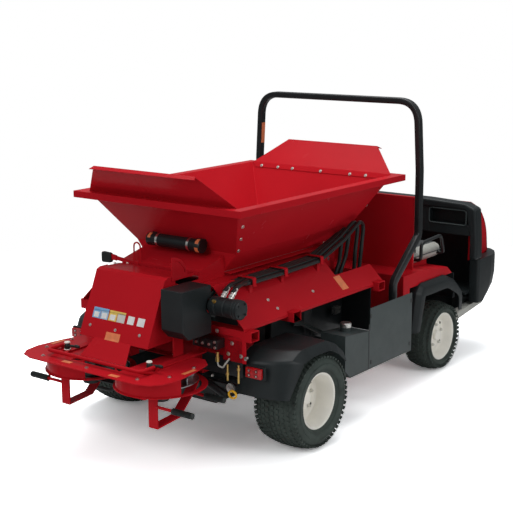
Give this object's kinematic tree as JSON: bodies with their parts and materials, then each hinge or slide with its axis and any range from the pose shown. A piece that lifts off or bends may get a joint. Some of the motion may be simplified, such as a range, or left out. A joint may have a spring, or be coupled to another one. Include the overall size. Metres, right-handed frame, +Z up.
{
  "type": "lawn topdresser",
  "caption": "Hopper-and-belt spreader for sand on lawns, with a sloping hood and spinning discs behind, carried on a two-seat utility vehicle with a roll-over hoop.",
  "frame": {"origin": "on the ground, under the middle of the machine's bounding box", "axes": "+Y forward, +X to the machine's right, +Z up"},
  "size_m": [1.72, 3.679, 1.93],
  "materials": {
    "red_paint": "gloss",
    "black_plastic": "satin moulded",
    "tyre_rubber": "matte",
    "black_rubber": "matte",
    "cream_steel": "satin",
    "black_steel": "satin",
    "steel": "brushed",
    "cast_metal": "cast",
    "grey_panel": "satin moulded",
    "seat_vinyl": "grained"
  },
  "bodies": {
    "chassis": {"hopper_shell": "red_paint", "hopper_rear_flap": "red_paint", "hopper_front_flap": "red_paint", "conveyor_frame": "red_paint", "rear_cross_tube": "red_paint", "middle_cross_tube": "red_paint", "front_cross_tube": "red_paint", "right_side_cover": "red_paint", "left_side_cover": "red_paint", "gate_bracket": "red_paint", "rear_hood": "red_paint", "cab_body": "red_paint", "nose_hood": "red_paint", "document_tube": "black_plastic", "right_rear_fender": "black_plastic", "left_rear_fender": "black_plastic", "right_front_fender": "black_plastic", "left_front_fender": "black_plastic", "dash_cowl": "black_plastic", "chain_guard": "black_steel", "conveyor_motor": "black_steel", "rops_hoop": "black_steel", "conveyor_belt": "black_rubber", "supply_hose": "black_rubber", "return_hose": "black_rubber", "right_frame_rail": "cast_metal", "left_frame_rail": "cast_metal", "powertrain": "cast_metal", "front_axle": "cast_metal", "right_side_panel": "grey_panel", "left_side_panel": "grey_panel"},
    "left_rear_wheel": {"left_rear_rim": "cream_steel", "left_rear_tyre": "tyre_rubber"},
    "right_rear_wheel": {"right_rear_rim": "cream_steel", "right_rear_tyre": "tyre_rubber"},
    "left_steering_knuckle": {"left_knuckle": "cast_metal"},
    "right_steering_knuckle": {"right_knuckle": "cast_metal"},
    "left_front_wheel": {"left_front_rim": "cream_steel", "left_front_tyre": "tyre_rubber"},
    "right_front_wheel": {"right_front_rim": "cream_steel", "right_front_tyre": "tyre_rubber"},
    "gate": {"feed_gate": "red_paint"},
    "gate_handle": {"gate_lever": "red_paint"},
    "rear_roller": {"drive_roller": "steel"},
    "front_roller": {"idler_roller": "steel"},
    "spinner_carriage": {"spinner_deck": "red_paint", "spinner_drive": "cast_metal", "left_leg_frame": "red_paint", "right_leg_frame": "red_paint", "left_rear_grip": "black_rubber", "right_rear_grip": "black_rubber", "left_front_grip": "black_rubber", "right_front_grip": "black_rubber"},
    "left_disc": {"left_spinner_disc": "steel"},
    "right_disc": {"right_spinner_disc": "steel"},
    "left_clamp": {"left_clamp_lever": "black_steel"},
    "right_clamp": {"right_clamp_lever": "black_steel"},
    "left_seat_slide": {"left_seat": "seat_vinyl"},
    "right_seat_slide": {"right_seat": "seat_vinyl"},
    "steering": {"steering_wheel": "black_plastic"}
  },
  "joints": [
    {"name": "left_rear_wheel_spin", "type": "hinge", "parent": "chassis", "child": "left_rear_wheel", "pos_m": [-0.69, -0.7455, 0.291], "axis": [-1, 0, 0], "continuous": true},
    {"name": "right_rear_wheel_spin", "type": "hinge", "parent": "chassis", "child": "right_rear_wheel", "pos_m": [0.69, -0.7455, 0.291], "axis": [-1, 0, 0], "continuous": true},
    {"name": "left_steer", "type": "hinge", "parent": "chassis", "child": "left_steering_knuckle", "pos_m": [-0.475, 1.0325, 0.242], "axis": [0, 0, 1], "range_deg": [-25, 25]},
    {"name": "right_steer", "type": "hinge", "parent": "chassis", "child": "right_steering_knuckle", "pos_m": [0.475, 1.0325, 0.242], "axis": [0, 0, 1], "range_deg": [-25, 25]},
    {"name": "left_front_wheel_spin", "type": "hinge", "parent": "left_steering_knuckle", "child": "left_front_wheel", "pos_m": [-0.565, 1.0325, 0.242], "axis": [-1, 0, 0], "continuous": true},
    {"name": "right_front_wheel_spin", "type": "hinge", "parent": "right_steering_knuckle", "child": "right_front_wheel", "pos_m": [0.565, 1.0325, 0.242], "axis": [-1, 0, 0], "continuous": true},
    {"name": "steering_wheel_turn", "type": "hinge", "parent": "chassis", "child": "steering", "pos_m": [-0.33, 1.2095, 1.105], "axis": [0, -0.6816, 0.7317], "range_deg": [-300, 300]},
    {"name": "gate_swing", "type": "hinge", "parent": "chassis", "child": "gate", "pos_m": [0, -0.9875, 1.098], "axis": [-1, 0, 0], "range_deg": [0, 40]},
    {"name": "gate_handle_swing", "type": "hinge", "parent": "chassis", "child": "gate_handle", "pos_m": [-0.17, -1.1915, 1.05], "axis": [0, 1, 0], "range_deg": [0, 40]},
    {"name": "drive_roller_spin", "type": "hinge", "parent": "chassis", "child": "rear_roller", "pos_m": [0, -1.2625, 0.915], "axis": [-1, 0, 0], "continuous": true},
    {"name": "idler_roller_spin", "type": "hinge", "parent": "chassis", "child": "front_roller", "pos_m": [0, 0.1145, 0.915], "axis": [-1, 0, 0], "continuous": true},
    {"name": "spinner_carriage_slide", "type": "slide", "parent": "chassis", "child": "spinner_carriage", "axis": [0, -1, 0], "range_m": [0, 0.04]},
    {"name": "left_disc_spin", "type": "hinge", "parent": "spinner_carriage", "child": "left_disc", "pos_m": [-0.27, -1.4955, 0.54], "axis": [0, 0, 1], "continuous": true},
    {"name": "right_disc_spin", "type": "hinge", "parent": "spinner_carriage", "child": "right_disc", "pos_m": [0.27, -1.4955, 0.54], "axis": [0, 0, 1], "continuous": true},
    {"name": "left_clamp_turn", "type": "hinge", "parent": "spinner_carriage", "child": "left_clamp", "pos_m": [-0.315, -1.6305, 0.63], "axis": [0, 0, 1], "range_deg": [0, 70]},
    {"name": "right_clamp_turn", "type": "hinge", "parent": "spinner_carriage", "child": "right_clamp", "pos_m": [0.315, -1.6305, 0.63], "axis": [0, 0, 1], "range_deg": [0, 70]},
    {"name": "left_seat_travel", "type": "slide", "parent": "chassis", "child": "left_seat_slide", "axis": [0, 1, 0], "range_m": [0, 0.09]},
    {"name": "right_seat_travel", "type": "slide", "parent": "chassis", "child": "right_seat_slide", "axis": [0, 1, 0], "range_m": [0, 0.09]}
  ],
  "couplings": [
    {"joint": "right_steer", "follows": "left_steer", "ratio": 1},
    {"joint": "steering_wheel_turn", "follows": "left_steer", "ratio": 12},
    {"joint": "gate_handle_swing", "follows": "gate_swing", "ratio": 1},
    {"joint": "idler_roller_spin", "follows": "drive_roller_spin", "ratio": 1},
    {"joint": "right_disc_spin", "follows": "left_disc_spin", "ratio": -1}
  ]
}
